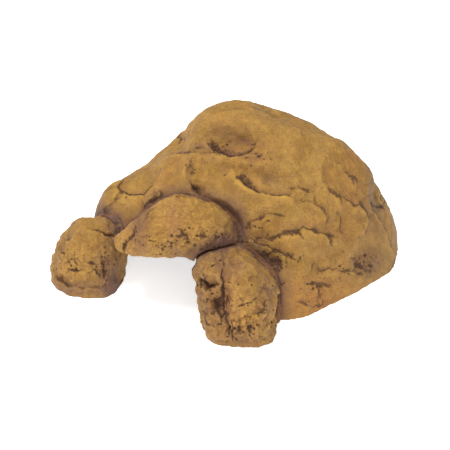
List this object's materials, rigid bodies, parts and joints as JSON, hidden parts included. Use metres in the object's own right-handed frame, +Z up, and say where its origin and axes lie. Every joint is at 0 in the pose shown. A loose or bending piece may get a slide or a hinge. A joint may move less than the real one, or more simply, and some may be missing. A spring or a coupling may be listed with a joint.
{
  "type": "aquarium cave ornament",
  "caption": "Hollow rock dome in painted resin with a low doorway at the front left, framed by boulders and a lintel stone, for fish or small reptiles to hide in.",
  "frame": {"origin": "on the floor, under the middle of the bounding box", "axes": "+Z up; +X to the right of someone who looks at the doorway, along the longest side; +Y away from them, so the doorway faces -Y"},
  "size_m": [0.257, 0.2209, 0.1166],
  "materials": {
    "rock_resin": "matte, stone-textured and hand painted",
    "bonding_paste": "matte, painted purple-brown"
  },
  "bodies": {
    "root": {"dome_shell": "rock_resin", "left_boulder": "rock_resin", "right_slab": "rock_resin", "lintel_boulder": "rock_resin", "bead_left_to_dome": "bonding_paste", "bead_slab_to_dome": "bonding_paste", "bead_lintel_to_dome": "bonding_paste", "bead_lintel_to_left": "bonding_paste", "bead_lintel_to_slab": "bonding_paste"}
  },
  "joints": []
}
